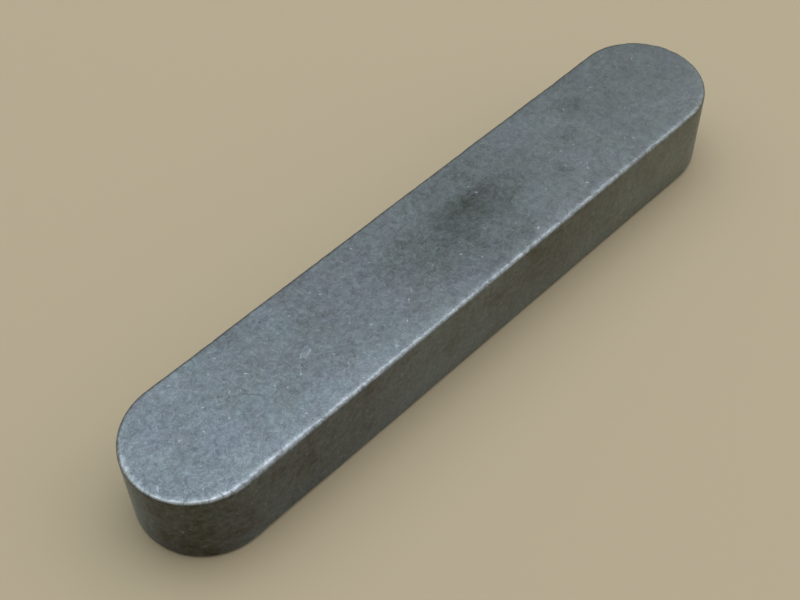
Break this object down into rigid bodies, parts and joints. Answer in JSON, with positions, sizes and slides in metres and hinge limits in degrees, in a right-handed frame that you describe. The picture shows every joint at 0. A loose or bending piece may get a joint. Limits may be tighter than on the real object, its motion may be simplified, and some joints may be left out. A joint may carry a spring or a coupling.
{
  "type": "parallel key",
  "caption": "Flat steel bar with full-radius ends and rounded rims, laid half in a shaft's keyway and half in a hub's, so that the shaft turns the hub.",
  "frame": {"origin": "centre of the seat, the flat bottom face that lies in the shaft's keyway", "axes": "+X along the key's length, +Y across its width to the left flank, +Z from the seat up to the top face"},
  "size_m": [0.065, 0.012, 0.008],
  "materials": {
    "key_steel": "satin"
  },
  "bodies": {
    "root": {"parallel_key": "key_steel"}
  },
  "joints": []
}
